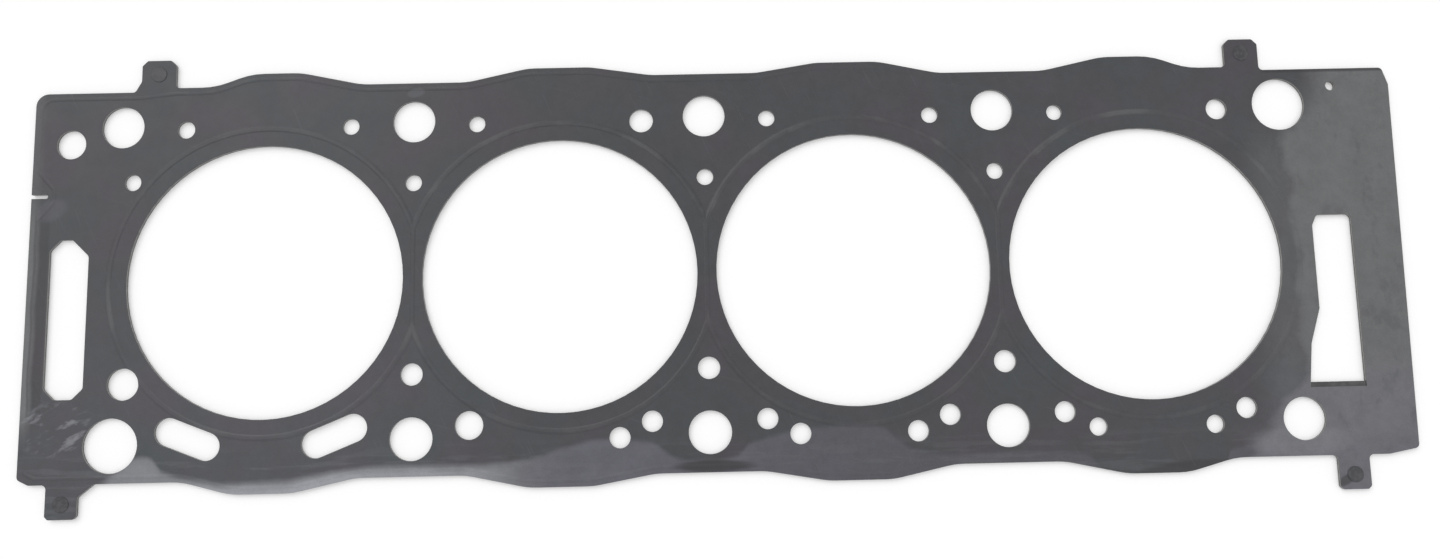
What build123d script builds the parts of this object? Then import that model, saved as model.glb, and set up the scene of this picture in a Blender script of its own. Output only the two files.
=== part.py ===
from build123d import *
import math
import os

# Multi-layer steel cylinder head gasket for an engine with four cylinders in line.
# Frame: the origin is the middle of the bore line, on the plane of the lower bead crests, where the
# gasket seats on the block. +X runs along the bores, +Y to the rear long side and +Z towards the head.
# Sizes are in mm and angles in degrees.

# --- Bores
bore_diameter = 87.0
web_width = 6.0  # between two bores

# --- Layers, from the block up to the head
lower_sheet = 0.25
carrier_sheet = 0.70
stopper_sheet = 0.10
upper_sheet = 0.25

# --- Embossed beads
bore_bead_height = 0.25
bore_bead_width = 2.4
bore_bead_side = 0.8  # width of each sloping side of the bead
bore_bead_margin = 5.5  # from the bore's edge to the middle of its bead
stopper_clearance = 0.3  # from the shim's outer edge to the foot of the bead
edge_bead_height = 0.08
edge_bead_width = 1.4
edge_bead_side = 0.5
edge_bead_inset = 1.9  # from the sheet's edge to the middle of the bead along it

# --- Head bolt and dowel holes, in two rows beside the bores
bolt_row_margin = 7.0  # from the bores' edges to each row
bolt_hole_diameter = 13.5
dowel_hole_diameter = 17.0

# --- Outline
rear_margin = 12.7  # from the rear bolt row to the rear edge, between the rear tabs
front_margin = 11.5
left_margin = 28.1  # from the first bolt holes to the left edge
right_margin = 36.4
rear_end_step = 1.2  # outside its tabs, the rear edge lies further in by this much
rear_mid_rise = 1.2  # between the two middle bores, the edges stand out by this much
front_mid_rise = 0.8
crest_rise = 4.2  # each bore has a low crest on both long edges
crest_flat = 10.0  # half length of a crest's straight top
crest_foot = 29.5  # from the bore's axis to the foot of its crest
rear_end_flat = 6.0  # the same, on the outer flanks of the end crests
rear_end_foot = 17.5
front_end_flat = 9.0
front_end_foot = 24.0
crest_radius = 24.0
corner_radius = 4.0
right_edge_taper = 1.4  # the right edge leans in by this much at its front end
rear_right_cut = (1.8, 5.6)  # corner cuts, along X and along Y
front_left_cut = (3.6, 1.8)
front_right_cut = (9.5, 1.8)
cut_radius = 1.5

# --- Tabs that carry the rivets, outside the sealing edge
rear_tab_length = 9.2
front_tab_length = 10.6
rear_tab_width = 10.9
front_tab_width = 9.7
rear_tab_tip_cut = 1.7
front_tab_tip_cut = 1.0
tab_root_radius = 1.4
tab_tip_radius = 0.8
rear_tab_shift = -10.8  # from the end bolt holes, outwards
front_tab_shift = 14.2
rear_tab_flare = (2.0, 3.6)  # gusset on one side of each left-hand tab's root, along X and along Y
front_tab_flare = (5.0, 4.0)
rivet_to_tip = 4.6  # from the rivet's axis to the tab's tip

# --- Rivets
rivet_shank_diameter = 3.0
rivet_hole_clearance = 0.1
rivet_head_diameter = 5.0
rivet_head_edge = 0.10
rivet_head_setback = 0.05  # the heads stay below the crests of the bore beads by this much

# --- Coolant holes round the bores: margins are from the bore's edge, angles from the Y axis
rear_hole_margin = 12.4
rear_hole_angle = 28.1
rear_hole_diameters = [(5.6, 5.3), (5.3, 7.6), (5.3, 5.3), (5.0, 6.8)]  # left and right of each bore
web_hole_margin = 12.1  # these lie in line with the webs
rear_web_hole_diameter = 5.3
front_web_hole_diameter = 7.0
front_hole_margin = 11.2
front_outer_angle = 31.4
front_inner_angle = 19.6
front_outer_diameter = 6.6
front_inner_diameter = 6.6
last_inner_diameter = 5.7
front_single_diameter = 8.9  # left of the second bore there is one hole, not two
front_slot_width = 8.9  # beside the first bore, slots run in from the outer holes' places
front_slot_length = 12.4  # between the middles of its round ends
front_slot_tilt = 21.8
left_hole_margin = 10.1
left_rear_angle = 52.8
left_rear_diameter = 5.3
left_front_angle = 126.1
left_front_diameter = 10.0

# --- Oil hole and check hole, from the bolt or dowel hole beside them
oil_hole_place = (-16.3, -5.3)
oil_hole_diameter = 9.4
check_hole_place = (17.4, 5.8)
check_hole_diameter = 3.0

# --- End slots
left_slot_gap = 6.5  # from the left edge to the slot
left_slot_width = 12.5
left_slot_rear = 14.4  # from the bore line to its rear end
left_slot_front_gap = 14.5  # from its front end to the front bolt row
left_slot_rear_cut = 5.3  # the rear right corner is cut by this much, and the others by slot_corner_cut
right_slot_gap = 16.1
right_slot_width = 12.7
right_slot_rear = 14.0
right_slot_front_gap = 9.7
right_slot_widening = 5.0  # its left side lies further out by this much at its front end
right_slot_bends = [(24.8, 0.0), (13.8, 3.5)]  # where that side bends: from the front end, and widening
slot_corner_cut = 3.4
slot_radius = 1.6
under_slot_setback = 1.6  # the sheets under the upper one reach this far into the right-hand slot

# --- Marking slit, open at the left edge
slit_gap = 22.0  # from the rear bolt row to the slit
slit_depth = 5.2
slit_width = 1.3

# --- Worked out from the sizes above
bores = len(rear_hole_diameters)
bore_pitch = bore_diameter + web_width
bore_xs = [(i - (bores - 1) / 2) * bore_pitch for i in range(bores)]
bolt_xs = [bore_xs[0] - bore_pitch / 2] + [x + bore_pitch / 2 for x in bore_xs]
web_xs = bolt_xs[1:-1]
left_edge = bolt_xs[0] - left_margin
right_edge = bolt_xs[-1] + right_margin
bore_radius = bore_diameter / 2
bore_bead_radius = bore_radius + bore_bead_margin
bolt_row = bore_radius + bolt_row_margin
slit_place = bolt_row - slit_gap

lower_z = bore_bead_height
carrier_z = lower_z + lower_sheet
upper_z = carrier_z + carrier_sheet
top_z = upper_z + upper_sheet
through = 8 * top_z  # longer than any cut through the stack

REAR, FRONT = 1, -1
edge_depth = {REAR: bolt_row + rear_margin, FRONT: bolt_row + front_margin}
end_depth = {REAR: edge_depth[REAR] - rear_end_step, FRONT: edge_depth[FRONT]}
mid_rise = {REAR: rear_mid_rise, FRONT: front_mid_rise}
end_crest = {REAR: (rear_end_flat, rear_end_foot), FRONT: (front_end_flat, front_end_foot)}
tab_half_width = {REAR: rear_tab_width / 2, FRONT: front_tab_width / 2}
tab_tip_cut = {REAR: rear_tab_tip_cut, FRONT: front_tab_tip_cut}
tab_flare = {REAR: rear_tab_flare, FRONT: front_tab_flare}
tab_tip = {REAR: edge_depth[REAR] + rear_tab_length, FRONT: edge_depth[FRONT] + front_tab_length}
tab_xs = {
    REAR: (bolt_xs[0] - rear_tab_shift, bolt_xs[-1] + rear_tab_shift),
    FRONT: (bolt_xs[0] - front_tab_shift, bolt_xs[-1] + front_tab_shift),
}
rivet_row = {side: tip - rivet_to_tip for side, tip in tab_tip.items()}


def rounded_path(corners):
    """A closed line through corners given as (x, y, radius), where a short run limits its fillets."""
    points = [Vector(x, y) for x, y, _ in corners]
    radii = []
    for i, (_, _, radius) in enumerate(corners):
        arriving = points[i] - points[i - 1]
        leaving = points[(i + 1) % len(points)] - points[i]
        half_turn = math.radians(arriving.get_angle(leaving)) / 2
        room = 0.49 * min(arriving.length, leaving.length)
        radii.append(min(radius, room / math.tan(half_turn)))
    return FilletPolyline(*points, radius=radii, close=True)


def crests(side, inset=0.0):
    """The corners of one long edge between its tabs, left to right, drawn in by the inset."""
    corners = []
    inner_crest = (crest_flat, crest_foot)
    for x in bore_xs:
        left_flat, left_foot = end_crest[side] if x == bore_xs[0] else inner_crest
        right_flat, right_foot = end_crest[side] if x == bore_xs[-1] else inner_crest
        foot = edge_depth[side] - inset
        top = foot + crest_rise
        middle = abs(x) < bore_pitch
        left = foot + mid_rise[side] * (middle and x > 0)
        right = foot + mid_rise[side] * (middle and x < 0)
        steps = [(-left_foot, left), (-left_flat, top), (right_flat, top), (right_foot, right)]
        corners += [(x + dx, side * depth, crest_radius) for dx, depth in steps]
    return corners


def tab(side, x, flare=0):
    """The corners of one rivet tab, left to right. The sign of flare says where its root flares."""
    half, cut, tip = tab_half_width[side], tab_tip_cut[side], tab_tip[side]
    corners = []
    for hand in (-1, 1):
        root = end_depth[side] if hand * x > 0 else edge_depth[side]
        edge = [(x + hand * half, root, tab_root_radius)]
        if flare == hand:
            along, out = tab_flare[side]
            edge = [
                (x + hand * (half + along), root, tab_root_radius),
                (x + hand * half, root + out, tab_root_radius),
            ]
        edge.append((x + hand * half, tip - cut, tab_tip_radius))
        edge.append((x + hand * (half - cut), tip, tab_tip_radius))
        corners += edge if hand < 0 else edge[::-1]
    return [(px, side * py, r) for px, py, r in corners]


def outline():
    """The gasket's outline with its tabs, without holes."""
    rear_cut_x, rear_cut_y = rear_right_cut
    left_cut_x, left_cut_y = front_left_cut
    right_cut_x, right_cut_y = front_right_cut
    front_right = right_edge - right_edge_taper
    rear_end, front_end = end_depth[REAR], end_depth[FRONT]
    front = [
        (left_edge, left_cut_y - front_end, cut_radius),
        (left_edge + left_cut_x, -front_end, cut_radius),
    ]
    front += tab(FRONT, tab_xs[FRONT][0], flare=1) + crests(FRONT) + tab(FRONT, tab_xs[FRONT][1])
    front += [
        (front_right - right_cut_x, -front_end, cut_radius),
        (front_right, right_cut_y - front_end, cut_radius),
    ]
    rear = [(left_edge, rear_end, corner_radius)]
    rear += tab(REAR, tab_xs[REAR][0], flare=-1) + crests(REAR) + tab(REAR, tab_xs[REAR][1])
    rear += [
        (right_edge - rear_cut_x, rear_end, cut_radius),
        (right_edge, rear_end - rear_cut_y, cut_radius),
    ]
    return make_face(rounded_path(front + rear[::-1]))


def beside(x, margin, angle):
    """The place at an angle from +Y, turning to +X, and a margin from the edge of the bore at x."""
    radius, turn = bore_radius + margin, math.radians(angle)
    return x + radius * math.sin(turn), radius * math.cos(turn)


def coolant_holes():
    """The round coolant holes, as (x, y, diameter)."""
    holes = []
    for x, pair in zip(bore_xs, rear_hole_diameters):
        for hand, diameter in zip((-1, 1), pair):
            holes.append((*beside(x, rear_hole_margin, hand * rear_hole_angle), diameter))
    web_row = math.sqrt((bore_radius + web_hole_margin) ** 2 - (bore_pitch / 2) ** 2)
    for x in web_xs:
        holes += [(x, web_row, rear_web_hole_diameter), (x, -web_row, front_web_hole_diameter)]
    for x in bore_xs[1:]:
        for hand in (-1, 1):
            outer = beside(x, front_hole_margin, 180 - hand * front_outer_angle)
            inner = beside(x, front_hole_margin, 180 - hand * front_inner_angle)
            if x == bore_xs[1] and hand < 0:
                holes.append((*outer, front_single_diameter))
                continue
            inner_diameter = last_inner_diameter if x == bore_xs[-1] else front_inner_diameter
            holes += [(*outer, front_outer_diameter), (*inner, inner_diameter)]
    holes.append((*beside(bore_xs[0], left_hole_margin, -left_rear_angle), left_rear_diameter))
    holes.append((*beside(bore_xs[0], left_hole_margin, -left_front_angle), left_front_diameter))
    return holes


def bolt_holes():
    """The head bolt and dowel holes, as (x, y, diameter)."""
    dowels = ((bolt_xs[0], -bolt_row), (bolt_xs[-1], bolt_row))
    places = [(x, row) for x in bolt_xs for row in (-bolt_row, bolt_row)]
    return [(*p, dowel_hole_diameter if p in dowels else bolt_hole_diameter) for p in places]


def front_slots():
    """The two slanting slots beside the first bore."""
    slot = SlotCenterToCenter(front_slot_length, front_slot_width)
    slots = []
    for hand in (-1, 1):
        x, y = beside(bore_xs[0], front_hole_margin, 180 - hand * front_outer_angle)
        inwards = Pos(-hand * front_slot_length / 2, 0)
        slots.append(Pos(x, y) * Rot(Z=hand * front_slot_tilt) * inwards * slot)
    return slots


def left_slot():
    """The long slot at the left end, with its corners cut."""
    x0 = left_edge + left_slot_gap
    x1 = x0 + left_slot_width
    y0, y1 = left_slot_front_gap - bolt_row, left_slot_rear
    cut, rear_cut = slot_corner_cut, left_slot_rear_cut
    corners = [
        (x0, y0 + cut),
        (x0 + cut, y0),
        (x1 - cut, y0),
        (x1, y0 + cut),
        (x1, y1 - rear_cut),
        (x1 - rear_cut, y1),
        (x0 + cut, y1),
        (x0, y1 - cut),
    ]
    return make_face(rounded_path([(x, y, slot_radius) for x, y in corners]))


def right_slot(setback):
    """The long slot at the right end. Its left side widens towards its square front end."""
    x1 = right_edge - right_slot_gap
    x0 = x1 - right_slot_width
    y0, y1 = right_slot_front_gap - bolt_row, right_slot_rear
    corners = [
        (x0 - right_slot_widening, y0 + setback, 0),
        (x1, y0 + setback, 0),
        (x1, y1, slot_radius),
        (x0 + slot_radius, y1, slot_radius),
        (x0, y1 - slot_corner_cut, slot_radius),
    ]
    corners += [(x0 - widening, y0 + up, slot_radius) for up, widening in right_slot_bends]
    return make_face(rounded_path(corners))


def marking_slit():
    """A narrow slit in from the left edge, with a round inner end."""
    return Pos(left_edge, slit_place) * SlotOverall(2 * slit_depth, slit_width)


def holes(setback=0.0):
    """Every hole in one full sheet, as faces."""
    faces = [Pos(x, 0) * Circle(bore_radius) for x in bore_xs]
    faces += [Pos(x, y) * Circle(d / 2) for x, y, d in bolt_holes() + coolant_holes()]
    oil_x, oil_y = oil_hole_place
    check_x, check_y = check_hole_place
    faces.append(Pos(bolt_xs[0] + oil_x, bolt_row + oil_y) * Circle(oil_hole_diameter / 2))
    faces.append(Pos(bolt_xs[-1] + check_x, bolt_row + check_y) * Circle(check_hole_diameter / 2))
    rivet_hole = Circle(rivet_shank_diameter / 2 + rivet_hole_clearance)
    for side in (REAR, FRONT):
        faces += [Pos(x, side * rivet_row[side]) * rivet_hole for x in tab_xs[side]]
    return faces + front_slots() + [left_slot(), right_slot(setback), marking_slit()]


def bead_section(width, side, height, depth):
    """Half-open trapezoid about x = 0: a bead's crest and sloping sides, carried down by the depth."""
    half = width / 2
    crest = half - side
    return [(-half, -depth), (-half, 0), (-crest, height), (crest, height), (half, 0), (half, -depth)]


def bore_beads(land, depth):
    """The embossing round the bores, standing on z = 0 and carried down by the depth.

    Each bore has a ring, and a land of the given height between the ring and the bore. Where the webs are
    narrow, the rings stop at the middle of the web and one straight bead joins them.
    """
    half = bore_bead_width / 2
    points = bead_section(bore_bead_width, bore_bead_side, bore_bead_height, depth)
    ring = [(x + bore_bead_radius, z) for x, z in points]
    if land:
        on_slope = bore_bead_radius - half + bore_bead_side * land / bore_bead_height
        ring[0:2] = [(bore_radius - half, -depth), (bore_radius - half, land), (on_slope, land)]
    solid_ring = revolve(Plane.XZ * make_face(Polyline(*ring, close=True)), Axis.Z)
    beads = []
    for i, x in enumerate(bore_xs):
        low = x - bore_pitch / 2 if i else left_edge
        high = x + bore_pitch / 2 if i < bores - 1 else right_edge
        cell = Pos((low + high) / 2, 0) * Box(high - low, 4 * bore_bead_radius, through)
        beads.append(Pos(x, 0) * solid_ring & cell)
    shared = bore_bead_radius**2 - (bore_pitch / 2) ** 2
    if shared > 0:
        web = extrude(Plane.XZ * make_face(Polyline(*points, close=True)), math.sqrt(shared), both=True)
        beads += [Pos(x, 0) * web for x in web_xs]
    return beads


def edge_bead(depth):
    """The low bead just inside the whole outline, which bends in round the marking slit."""
    inset, radius = edge_bead_inset, corner_radius
    x0, x1 = left_edge + inset, right_edge - right_edge_taper - inset
    detour = left_edge + slit_depth + inset
    rear_end, front_end = end_depth[REAR] - inset, end_depth[FRONT] - inset
    front = [
        (x0, front_left_cut[1] - front_end, radius / 2),
        (x0 + front_left_cut[0], -front_end, radius / 2),
    ]
    front += crests(FRONT, inset) + [(x1, -front_end, radius)]
    rear = [
        (x0, slit_place - 2 * radius, radius / 2),
        (detour, slit_place - radius / 2, radius / 2),
        (detour, slit_place + radius / 2, radius / 2),
        (x0, slit_place + 2 * radius, radius / 2),
        (x0, rear_end, radius),
        (tab_xs[REAR][0] - tab_half_width[REAR], rear_end, radius),
        (tab_xs[REAR][0] + tab_half_width[REAR], edge_depth[REAR] - inset, radius),
    ]
    rear += crests(REAR, inset)
    rear += [
        (tab_xs[REAR][1] - tab_half_width[REAR], edge_depth[REAR] - inset, radius),
        (tab_xs[REAR][1] + tab_half_width[REAR], rear_end, radius),
        (x1, rear_end, radius),
    ]
    path = rounded_path(front + rear[::-1])
    section = bead_section(edge_bead_width, edge_bead_side, edge_bead_height, depth)
    along = path.tangent_at(0)
    plane = Plane(path.position_at(0), x_dir=Vector(0, 0, 1).cross(along), z_dir=along)
    return sweep(plane * make_face(Polyline(*section, close=True)), path=path)


def embossed_sheet(thickness, land, setback):
    """A sheet of even thickness with its beads standing up, lying on z = 0."""
    skin = thickness / 2
    raised = [Pos(Z=thickness) * bead for bead in bore_beads(land, skin) + [edge_bead(skin)]]
    hollows = [Pos(Z=-thickness) * bead for bead in raised]
    cuts = [extrude(face, through, both=True) for face in holes(setback)]
    return extrude(outline(), thickness) + raised - hollows - cuts


def stopper():
    """One shim round all the bores, as wide as the land inside the beads, lying on z = 0."""
    radius = bore_bead_radius - bore_bead_width / 2 - stopper_clearance
    rings = Sketch() + [Pos(x, 0) * Circle(radius) for x in bore_xs]
    return extrude(rings - [Pos(x, 0) * Circle(bore_radius) for x in bore_xs], stopper_sheet)


def rivet():
    """A flat rivet closed over the flat stack, on the Z axis."""
    head_radius = rivet_head_diameter / 2
    low, high = rivet_head_setback, top_z + bore_bead_height - rivet_head_setback
    half = [
        (0, low),
        (head_radius - rivet_head_edge, low),
        (head_radius, low + rivet_head_edge),
        (head_radius, lower_z),
        (rivet_shank_diameter / 2, lower_z),
        (rivet_shank_diameter / 2, top_z),
        (head_radius, top_z),
        (head_radius, high - rivet_head_edge),
        (head_radius - rivet_head_edge, high),
        (0, high),
    ]
    return revolve(Plane.XZ * make_face(Polyline(*half, close=True)), Axis.Z)


def main():
    carrier = extrude(outline() - holes(under_slot_setback), carrier_sheet)
    lower_layer = mirror(embossed_sheet(lower_sheet, 0.0, under_slot_setback), Plane.XY)
    pieces = {
        "upper_bead_layer": Pos(Z=upper_z) * embossed_sheet(upper_sheet, stopper_sheet, 0.0),
        "stopper_shim": Pos(Z=upper_z) * stopper(),
        "carrier_layer": Pos(Z=carrier_z) * carrier,
        "lower_bead_layer": Pos(Z=carrier_z) * lower_layer,
    }
    for side, name in ((REAR, "rear"), (FRONT, "front")):
        for x, hand in zip(tab_xs[side], ("left", "right")):
            pieces[f"rivet_{name}_{hand}"] = Pos(x, side * rivet_row[side]) * rivet()

    os.makedirs("parts", exist_ok=True)
    for name, piece in pieces.items():
        export_step(piece, f"parts/{name}.step")


main()
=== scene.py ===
import math

import bpy
from mathutils import Matrix, Vector

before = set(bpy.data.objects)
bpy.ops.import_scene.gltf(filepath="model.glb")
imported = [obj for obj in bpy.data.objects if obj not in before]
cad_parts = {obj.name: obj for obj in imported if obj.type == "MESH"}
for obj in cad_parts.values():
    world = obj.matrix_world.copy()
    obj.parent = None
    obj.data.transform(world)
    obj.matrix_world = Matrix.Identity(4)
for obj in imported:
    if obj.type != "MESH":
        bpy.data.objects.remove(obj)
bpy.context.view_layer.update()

MM = 0.001


def srgb(*levels):
    """A colour from its levels out of 255, as the screen shows them."""
    shares = [level / 255 for level in levels]
    return tuple(v / 12.92 if v <= 0.04045 else ((v + 0.055) / 1.055) ** 2.4 for v in shares)


# ---------------------------------------------------------------- colours
COAT_TEAL = srgb(63, 66, 69)
COAT_PLUM = srgb(68, 65, 70)
PAINTED_SHEEN = srgb(99, 100, 101)  # painted sheen: painted reflection at the right end, painted highlight on the left edge and on the bead crests
# painted reflection, bluer towards the front
PAINTED_SHEEN_BLUE = srgb(104, 104, 109)
COAT_VIOLET = srgb(90, 89, 98)
# streak tone: handling scratches, a light streak at the rear, and painted reflection along the front edge
COAT_STREAK_AND_SHEEN = srgb(108, 109, 113)
COAT_PALE_SCUFF_AND_HIGHLIGHT = srgb(134, 135, 140)  # pale tone: painted highlight at the front edge and the front right, and the scuffs at the front left
# dark tone: painted shade along the left and rear edges, painted shadow beside a rivet, and darker spots
# along the front
COAT_DARK_AND_SHADE = srgb(48, 47, 50)
CUT_STEEL = srgb(96, 95, 95)
RIVET_DARK = srgb(60, 61, 64)
RIVET_WORN = srgb(76, 75, 79)

# ---------------------------------------------------------------- places on the part, in mm
BORE_PITCH = 93.0
BORE_ROW_END = 2 * BORE_PITCH  # four bores
BEAD_RADIUS = 49.0
BEAD_CREST = (1.1, 0.5)  # from a bead's middle line: where the painted crest highlight ends, where it is full

# curves: their points, then the reach of both values as (low, high, low, high)
RIGHT_LIMIT = (  # the painted reflection at the right end begins here: x by y
    [(-64, 164), (-58, 172), (-52, 175.5), (-47, 177), (-42, 181.5), (-37, 186), (-26, 186.5), (0, 187),
     (22, 187.5), (30, 185.5), (37, 185), (43, 188), (54, 197), (64, 198)],
    (-64, 64, 160, 202))
FRONT_LIMIT = (  # the painted reflection along the front edge ends here: y by x
    [(-190, -62), (-181, -57), (-176, -54), (-172.5, -55.5), (-169, -59.3), (-158, -61.6), (-148, -62.4),
     (-134, -62.4), (-124, -61.2), (-112, -59.4), (-98, -58.5), (-78, -59), (-58, -57.5), (-44, -54),
     (-32, -52), (-20, -53), (-7, -59), (3, -59.5), (12, -54.5), (34, -50), (48, -49.5), (58, -54),
     (70, -58.5), (96, -59), (116, -60), (128, -68), (156, -68), (162, -60), (176, -56.5)],
    (-190, 176, -70, -45))
LEVEL_ALONG = (  # how much lighter the coating is than its plain colour: level by x
    [(-210, 0.06), (-176, 0.04), (-140, 0.09), (-95, 0.01), (-52, -0.11), (0, -0.12), (60, -0.05),
     (140, -0.01)],
    (-210, 140, -0.2, 0.3))

# down the left edge, the edge bead's painted highlight and painted shade: where each strip starts and where
# it is full
PALE_HIGHLIGHT_STRIP = (-210.2, -213.0)
SHADE_STRIP_LEFT, SHADE_STRIP_RIGHT = (-211.4, -210.2), (-207.4, -208.4)
CREASE_SHADE_X, CREASE_SHADE_WIDTH = -212.2, (0.55, 0.15)
LEFT_SLOT_REAR, LEFT_SLOT_FRONT = (30, 18), (-48, -36)
STRIP_FRONT_END = (-52, -42)

SCUFFS_MIDDLE, SCUFFS_REACH = (-203, -45), (12, 8.5)
# painted shade: a dark line along the rear edge at the right end
REAR_LINE_START, REAR_LINE_END, REAR_LINE_X = (60.7, 61.4), (63, 62.5), (180, 183)

SPOTS = [  # middle, reach, turned in degrees, strength, colour
    ((-207.5, 24), (5.5, 3.6), 25, 0.4, COAT_VIOLET),
    # painted reflection at the front right
    ((184, -57.5), (17, 5), 0, 0.3, COAT_PALE_SCUFF_AND_HIGHLIGHT),
    ((-92.5, 60.0), (3.0, 1.6), 12, 0.3, COAT_STREAK_AND_SHEEN),
    # painted shadow of the front right rivet
    ((197.4, -69.6), (3.4, 1.5), 32, 0.7, COAT_DARK_AND_SHADE),
    ((1, -60.9), (13, 2.0), 0, 0.85, COAT_DARK_AND_SHADE),
    ((148, -65.4), (17, 3.0), 5, 0.7, COAT_DARK_AND_SHADE),
]

MICRO_RELIEF = 0.02  # height of the finishes' bumps


# ---------------------------------------------------------------- node helpers
class Nodes:
    """Adds nodes to a tree: values are numbers, colours or other nodes' outputs."""

    def __init__(self, tree):
        self.tree = tree
        self._coordinates = None

    def put(self, socket, value):
        if isinstance(value, bpy.types.NodeSocket):
            self.tree.links.new(value, socket)
        else:
            socket.default_value = value

    def node(self, kind, settings=None, **inputs):
        node = self.tree.nodes.new(kind)
        for key, value in (settings or {}).items():
            setattr(node, key, value)
        for key, value in inputs.items():
            self.put(node.inputs[key.replace("_", " ")], value)
        return node

    def mm(self):
        """The place on the part in mm, as X, Y and Z outputs and the vector."""
        if self._coordinates is None:
            place = self.node("ShaderNodeTexCoord").outputs["Object"]
            scaled = self.scaled(place, 1 / MM)
            split = self.node("ShaderNodeSeparateXYZ", Vector=scaled)
            self._coordinates = (*split.outputs[:3], scaled)
        return self._coordinates

    def scaled(self, vector, factor):
        node = self.node("ShaderNodeVectorMath", {"operation": "SCALE"}, Scale=factor)
        self.put(node.inputs[0], vector)
        return node.outputs[0]

    def math(self, operation, a, b=0.0, c=0.0):
        node = self.node("ShaderNodeMath", {"operation": operation})
        for socket, value in zip(node.inputs, (a, b, c)):
            self.put(socket, value)
        return node.outputs[0]

    def product(self, first, *others):
        for value in others:
            first = self.math("MULTIPLY", first, value)
        return first

    def away(self, value, middle):
        """How far value is from middle, on either side."""
        return self.math("ABSOLUTE", self.math("SUBTRACT", value, middle))

    def map_range(self, settings, names, numbers):
        node = self.node("ShaderNodeMapRange", settings)
        for name, number in zip(names, numbers):
            self.put(node.inputs[name], number)
        return node.outputs[0]

    def ramp(self, value, low, high, at_low=0.0, at_high=1.0):
        """Turns smoothly from at_low where value is low to at_high where it is high."""
        return self.map_range({"interpolation_type": "SMOOTHSTEP", "clamp": True},
                              ("Value", "From Min", "From Max", "To Min", "To Max"),
                              (value, low, high, at_low, at_high))

    def along(self, value, points, reach):
        """A smooth curve through points (value, result), both within reach = (low, high, low, high)."""
        low, high, out_low, out_high = reach
        unit = self.map_range({}, ("Value", "From Min", "From Max"), (value, low, high))
        curve = self.node("ShaderNodeFloatCurve", Value=unit)
        line = curve.mapping.curves[0]
        while len(line.points) < len(points):
            line.points.new(0.5, 0.5)
        for point, (v, result) in zip(line.points, points):
            point.location = ((v - low) / (high - low), (result - out_low) / (out_high - out_low))
            point.handle_type = "AUTO_CLAMPED"
        curve.mapping.update()
        return self.math("MULTIPLY_ADD", curve.outputs[0], out_high - out_low, out_low)

    def noise(self, size, detail=3.0, stretch=(1, 1, 1), turned=0.0):
        """Noise with features of about size mm, made longer by stretch on each axis and turned about Z."""
        place = self.mm()[3]
        if turned:
            place = self.node("ShaderNodeVectorRotate", {"rotation_type": "Z_AXIS"}, Vector=place,
                              Angle=math.radians(turned)).outputs[0]
        squeezed = self.node("ShaderNodeVectorMath", {"operation": "MULTIPLY"})
        self.put(squeezed.inputs[0], place)
        squeezed.inputs[1].default_value = [1 / (size * s) for s in stretch]
        return self.node("ShaderNodeTexNoise", Scale=1.0, Detail=detail, Roughness=0.55,
                         Vector=squeezed.outputs[0]).outputs[0]

    def mix(self, factor, a, b):
        """Colour a where factor is 0 and b where it is 1."""
        node = self.node("ShaderNodeMix", {"data_type": "RGBA", "blend_type": "MIX"})
        self.put(node.inputs[0], factor)
        for socket, value in zip((node.inputs[6], node.inputs[7]), (a, b)):
            self.put(socket, (*value, 1.0) if isinstance(value, tuple) else value)
        return node.outputs[2]

    def relief(self, height):
        """The normal of a surface with this fine height."""
        return self.node("ShaderNodeBump", Strength=1.0, Distance=MICRO_RELIEF * MM,
                         Height=height).outputs[0]

    def cut_edge(self):
        """1 on the punched edges, which stand upright, and 0 on a sheet's faces."""
        normal = self.node("ShaderNodeNewGeometry").outputs["True Normal"]
        up = self.math("ABSOLUTE", self.node("ShaderNodeSeparateXYZ", Vector=normal).outputs[2])
        return self.ramp(up, 0.5, 0.2)


def new_material(name, paint, *details):
    """A material whose surface is the shader that paint makes with its details."""
    material = bpy.data.materials.new(name)
    material.use_nodes = True
    n = Nodes(material.node_tree)
    n.tree.nodes.clear()
    output = n.node("ShaderNodeOutputMaterial")
    n.put(output.inputs["Surface"], paint(n, *details).outputs[0])
    return material


# ---------------------------------------------------------------- wear and painted light on the upper sheet
def right_sheen_zone(n, x, y, wander):
    """The painted reflection at the right end, as 0 to 1."""
    softness = n.ramp(y, 36, 48, 6.0, 13.0)
    past = n.math("SUBTRACT", n.math("MULTIPLY_ADD", wander, 5.0, x), n.along(y, *RIGHT_LIMIT))
    # a fainter painted reflection over the right end
    faint_sheen = n.product(n.ramp(x, 169, 183, 0.0, 0.42), n.ramp(y, 48, 32))
    return n.math("MAXIMUM", n.ramp(n.math("DIVIDE", past, softness), -0.5, 0.5), faint_sheen)


def front_sheen_zone(n, x, y, wander):
    """The painted reflection along the front edge, as 0 to 1, and how deep in it a place lies in mm."""
    depth = n.math("SUBTRACT", n.along(x, *FRONT_LIMIT), n.math("MULTIPLY_ADD", wander, 1.2, y))
    return n.product(n.ramp(depth, -1.1, 1.1), n.ramp(x, -190, -184)), depth


def spot(n, x, y, middle, reach, turned=0.0):
    """A soft-edged oval: 1 in its middle, 0 past its rim."""
    c, s = math.cos(math.radians(turned)), math.sin(math.radians(turned))
    dx, dy = n.math("SUBTRACT", x, middle[0]), n.math("SUBTRACT", y, middle[1])
    along = n.math("MULTIPLY_ADD", dx, c / reach[0], n.math("MULTIPLY", dy, s / reach[0]))
    across = n.math("MULTIPLY_ADD", dy, c / reach[1], n.math("MULTIPLY", dx, -s / reach[1]))
    square = n.math("MULTIPLY_ADD", along, along, n.math("MULTIPLY", across, across))
    return n.ramp(square, 1.3, 0.35)


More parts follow.
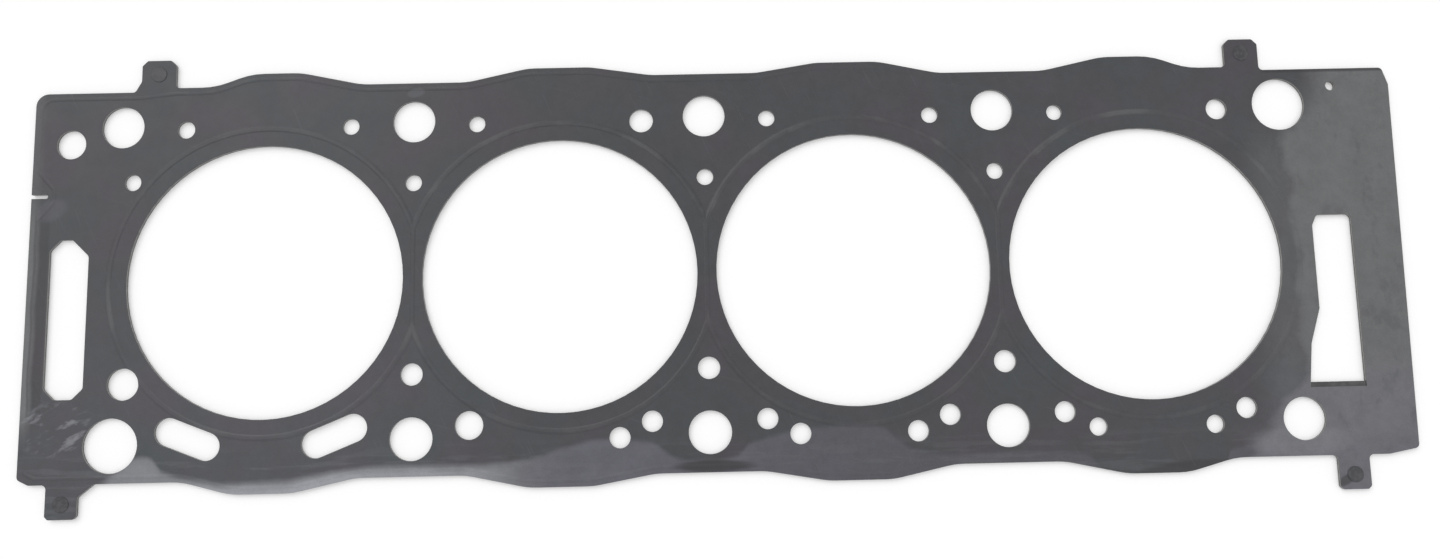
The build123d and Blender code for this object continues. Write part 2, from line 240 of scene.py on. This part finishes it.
def bore_crest(n, x, y):
    """1 on the crest of a bore's bead, 0 away from it."""
    within = n.math("MINIMUM", n.math("MAXIMUM", x, -BORE_ROW_END), BORE_ROW_END)
    half = BORE_PITCH / 2
    from_web = n.math("PINGPONG", n.math("ABSOLUTE", within), half)
    across = n.math("ADD", n.away(x, within), n.math("SUBTRACT", half, from_web))
    square = n.math("MULTIPLY_ADD", across, across, n.math("MULTIPLY", y, y))
    return n.ramp(n.away(n.math("POWER", square, 0.5), BEAD_RADIUS), *BEAD_CREST)


def right_sheen(n, colour, x, y, wander):
    """The painted reflection at the right end, broken up by darker patches."""
    sheen_breakup = n.ramp(n.noise(4.5, detail=4, stretch=(1, 1.8, 1)), 0.56, 0.7, 1.0, 0.72)
    sheen_tone = n.mix(n.ramp(y, -22, -44), PAINTED_SHEEN, PAINTED_SHEEN_BLUE)
    return n.mix(n.product(sheen_breakup, right_sheen_zone(n, x, y, wander)), colour, sheen_tone)


def front_sheen(n, colour, x, y, wander):
    """The painted reflection along the front edge: streaked at the left, a painted highlight at its very
    edge, violet at the right.
    """
    front, depth = front_sheen_zone(n, x, y, wander)
    pale = n.product(n.ramp(x, -169, -157, 0.15, 1.0), n.ramp(x, -58, -76))
    border = n.mix(n.product(n.ramp(depth, 0.3, 2.6), pale), COAT_STREAK_AND_SHEEN, COAT_PALE_SCUFF_AND_HIGHLIGHT)
    violet = n.ramp(n.math("MULTIPLY_ADD", wander, 10, x), -66, -44, 0.0, 0.9)
    border = n.mix(violet, border, COAT_VIOLET)
    colour = n.mix(n.product(front, n.ramp(x, -20, 70, 1.0, 0.45)), colour, border)
    # streaky painted reflection along the front edge
    sheen_streaks = n.noise(2.2, detail=3, stretch=(9, 1, 1))
    return n.mix(n.product(n.ramp(sheen_streaks, 0.5, 0.62, 0.0, 0.16), n.ramp(y, -50, -58)), colour, COAT_STREAK_AND_SHEEN)


def left_edge_highlight_and_shade(n, colour, x, y, wander):
    """A painted highlight strip with a dark painted-shade crease down the left edge, and a painted shaded
    strip inside it.
    """
    edge = n.math("MULTIPLY_ADD", wander, 0.8, x)
    beside_slot = n.product(n.ramp(y, *LEFT_SLOT_REAR), n.ramp(y, *LEFT_SLOT_FRONT))
    strength = n.math("MULTIPLY_ADD", beside_slot, 0.55, 0.35)
    pale = n.product(n.ramp(edge, *PALE_HIGHLIGHT_STRIP), strength, n.ramp(y, *STRIP_FRONT_END))
    colour = n.mix(pale, colour, PAINTED_SHEEN)
    crease = n.product(n.ramp(n.away(edge, CREASE_SHADE_X), *CREASE_SHADE_WIDTH), beside_slot, 0.4)
    colour = n.mix(crease, colour, COAT_DARK_AND_SHADE)
    shaded = n.product(n.ramp(edge, *SHADE_STRIP_LEFT), n.ramp(x, *SHADE_STRIP_RIGHT), beside_slot, 0.45)
    return n.mix(shaded, colour, COAT_DARK_AND_SHADE)


def upper_wear_and_sheen(n, colour, x, y):
    """All the wear and painted light of the upper sheet, laid over its plain colour."""
    wander = n.math("MULTIPLY_ADD", n.noise(11, detail=5, stretch=(1.6, 1, 1)), 2.0, -1.0)
    colour = right_sheen(n, colour, x, y, wander)
    colour = front_sheen(n, colour, x, y, wander)
    colour = left_edge_highlight_and_shade(n, colour, x, y, wander)

    marks = n.ramp(n.noise(2.6, detail=3, stretch=(2.4, 1, 1), turned=-24), 0.50, 0.68, 0.0, 0.5)
    colour = n.mix(n.product(spot(n, x, y, SCUFFS_MIDDLE, SCUFFS_REACH), marks), colour, COAT_PALE_SCUFF_AND_HIGHLIGHT)

    # painted highlight on the crests of the bore beads
    crest_highlight = n.ramp(n.noise(16, detail=3), 0.45, 0.7, 0.05, 0.45)
    crest_highlight = n.product(bore_crest(n, x, y), crest_highlight, n.ramp(y, -40, 15, 0.4, 1.0))
    colour = n.mix(crest_highlight, colour, PAINTED_SHEEN)

    for middle, reach, turned, strength, tone in SPOTS:
        colour = n.mix(n.product(spot(n, x, y, middle, reach, turned), strength), colour, tone)
    # painted shade: a dark line along the rear edge at the right end
    across, past = n.product(n.ramp(y, *REAR_LINE_START), n.ramp(y, *REAR_LINE_END)), n.ramp(x, *REAR_LINE_X)
    return n.mix(n.product(across, past, 0.75), colour, COAT_DARK_AND_SHADE)


# ---------------------------------------------------------------- finishes
def coated_sheet(n, upper):
    """Dark rubber coating on a light-gauge steel sheet, with bare punched edges; the upper sheet shows its
    wear and painted light.
    """
    x, y = n.mm()[:2]
    cloud = n.noise(8, detail=4)
    grain = n.noise(0.5, detail=3)

    colour = n.mix(n.ramp(n.noise(30, detail=2), 0.35, 0.65), COAT_TEAL, COAT_PLUM)
    level = n.ramp(grain, 0.3, 0.7, 0.95, 1.05)
    for change in (n.along(x, *LEVEL_ALONG),
                   n.product(n.ramp(y, 20, -45), n.ramp(x, 70, -150, -0.03, 0.2)),
                   n.ramp(cloud, 0.3, 0.7, -0.06, 0.06),
                   n.ramp(n.noise(2.4, detail=3), 0.35, 0.65, -0.035, 0.035)):
        level = n.math("ADD", level, change)
    if upper:
        colour = upper_wear_and_sheen(n, colour, x, y)
    colour = n.scaled(colour, level)

    # fine scratches from handling, in two directions
    scratch = n.math("MAXIMUM", n.ramp(n.noise(0.5, detail=1, stretch=(50, 0.6, 1), turned=17), 0.71, 0.77),
                     n.ramp(n.noise(0.6, detail=1, stretch=(0.6, 36, 1), turned=-24), 0.72, 0.78))
    colour = n.mix(n.product(scratch, 0.16), colour, COAT_STREAK_AND_SHEEN)
    colour = n.mix(n.cut_edge(), colour, CUT_STEEL)

    height = n.math("MULTIPLY_ADD", grain, 0.5, n.math("MULTIPLY", cloud, 2.5))
    height = n.math("SUBTRACT", height, n.math("MULTIPLY", scratch, 0.25))
    rough = n.math("ADD", n.ramp(cloud, 0.3, 0.7, 0.40, 0.52), n.ramp(grain, 0.3, 0.7, -0.04, 0.04))
    return n.node("ShaderNodeBsdfPrincipled", Base_Color=colour, Roughness=rough, Specular_IOR_Level=0.35,
                  Normal=n.relief(height))


def layer_steel(n, face, edge):
    """A bare sheet: dull rolled faces, and punched edges with a bright sheared band over a rough torn one."""
    z = n.mm()[2]
    rolled = n.noise(0.16, detail=2, stretch=(12, 1, 1))
    drag = n.noise(0.12, detail=2, stretch=(1, 1, 14))
    cut = n.cut_edge()

    torn = n.ramp(n.math("MULTIPLY_ADD", n.noise(1.4, detail=3), 0.35, z), 0.98, 0.90)
    wall = n.mix(torn, srgb(edge, edge, edge - 2), srgb(edge - 34, edge - 35, edge - 36))
    wall = n.mix(n.ramp(drag, 0.35, 0.65, 0.0, 0.35), wall, srgb(edge - 60, edge - 60, edge - 60))
    flat = n.mix(n.ramp(n.noise(3.0, detail=3), 0.3, 0.7), srgb(face, face, face + 1),
                 srgb(face + 14, face + 14, face + 14))

    rough = n.math("ADD", n.ramp(rolled, 0.3, 0.7, 0.30, 0.44), n.product(torn, cut, 0.2))
    height = n.math("ADD", n.math("MULTIPLY", rolled, 0.3), n.math("MULTIPLY", drag, cut))
    return n.node("ShaderNodeBsdfPrincipled", Base_Color=n.mix(cut, flat, wall), Metallic=0.8,
                  Roughness=rough, Normal=n.relief(height))


def rivet_finish(n):
    """Flattened rivet heads: dark coated steel, burnished by the punch."""
    cloud = n.noise(1.2, detail=4)
    colour = n.mix(n.ramp(cloud, 0.35, 0.65), RIVET_DARK, RIVET_WORN)
    return n.node("ShaderNodeBsdfPrincipled", Base_Color=colour, Metallic=0.2,
                  Roughness=n.ramp(cloud, 0.3, 0.7, 0.36, 0.5), Specular_IOR_Level=0.35,
                  Normal=n.relief(n.noise(0.25, detail=2)))


FINISHES = {
    "upper_bead_layer": new_material("upper_coating", coated_sheet, True),
    "lower_bead_layer": new_material("lower_coating", coated_sheet, False),
    # the carrier's face is painted dark, as painted shade where it shows at the front end of the right slot
    "carrier_layer": new_material("carrier_steel", layer_steel, 66, 150),
    "stopper_shim": new_material("shim_steel", layer_steel, 140, 170),
}
rivet_material = new_material("rivet_steel", rivet_finish)

for name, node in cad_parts.items():
    material = FINISHES.get(name, rivet_material)
    if not node.material_slots:
        node.data.materials.append(material)
    for slot in node.material_slots:
        slot.material = material

# ---------------------------------------------------------------- floor and light
WHITE = (1, 1, 1, 1)
PAPER = (0.86, 0.86, 0.86, 1)
FLOOR_SIZE, FLOOR_GAP = 60.0, 0.02 * MM
FLOOR_GLOW = 0.19  # keeps the floor white where it is seen, and adds nothing to the part's light
WORLD_LIGHT, WORLD_SEEN = 0.6, 1.0


def seen_directly(n):
    """1 for what the camera sees, also in gloss and through glass, and 0 for what only lights the part."""
    path = n.node("ShaderNodeLightPath").outputs
    mirrored = n.math("MAXIMUM", path["Is Glossy Ray"], path["Is Transmission Ray"])
    return n.math("MAXIMUM", path["Is Camera Ray"], mirrored)


def floor_white(n):
    both = n.node("ShaderNodeAddShader")
    n.put(both.inputs[0], n.node("ShaderNodeBsdfDiffuse", Color=PAPER).outputs[0])
    glow = n.node("ShaderNodeEmission", Color=WHITE, Strength=n.product(seen_directly(n), FLOOR_GLOW))
    n.put(both.inputs[1], glow.outputs[0])
    return both


bpy.ops.mesh.primitive_grid_add(x_subdivisions=8, y_subdivisions=8, size=FLOOR_SIZE,
                                location=(0, 0, -FLOOR_GAP))
floor = bpy.context.object
floor.name = "floor"
floor.data.materials.append(new_material("floor_white", floor_white))

world = bpy.data.worlds.new("studio")
world.use_nodes = True
bpy.context.scene.world = world
n = Nodes(world.node_tree)
back = world.node_tree.nodes["Background"]
n.put(back.inputs["Color"], WHITE)
n.put(back.inputs["Strength"], n.ramp(seen_directly(n), 0, 1, WORLD_LIGHT, WORLD_SEEN))


def soft_sun(name, azimuth, elevation, spread, strength):
    """Soft light from one side; azimuth 0 comes from the rear and 90 from the right."""
    light = bpy.data.lights.new(name, "SUN")
    light.angle = math.radians(spread)
    light.energy = strength
    item = bpy.data.objects.new(name, light)
    bpy.context.collection.objects.link(item)
    a, e = math.radians(azimuth), math.radians(elevation)
    toward = Vector((math.sin(a) * math.cos(e), math.cos(a) * math.cos(e), math.sin(e)))
    item.rotation_euler = toward.to_track_quat("Z", "Y").to_euler()


soft_sun("key", azimuth=-40, elevation=50, spread=45, strength=1.0)
soft_sun("fill", azimuth=120, elevation=60, spread=60, strength=0.4)

# ---------------------------------------------------------------- camera
VIEW_TARGET = Vector((4.08, -2.54, 0)) * MM
VIEW_DISTANCE = 349.4 * MM
YAW, PITCH, ROLL = (math.radians(a) for a in (-4.58, 7.0, -3.29))
IMAGE_WIDTH, FOCAL_PIXELS = 1440, 1100

turn = Matrix.Rotation(YAW, 3, "Z") @ Matrix.Rotation(PITCH, 3, "X") @ Matrix.Rotation(-ROLL, 3, "Z")
camera_data = bpy.data.cameras.new("camera")
camera_data.sensor_width = 36.0
camera_data.lens = camera_data.sensor_width * FOCAL_PIXELS / IMAGE_WIDTH
camera_data.clip_start, camera_data.clip_end = 0.01, 20.0
camera = bpy.data.objects.new("camera", camera_data)
bpy.context.collection.objects.link(camera)
camera.matrix_world = Matrix.Translation(VIEW_TARGET + turn @ Vector((0, 0, VIEW_DISTANCE))) @ turn.to_4x4()
bpy.context.scene.camera = camera
bpy.context.scene.view_settings.view_transform = "Standard"
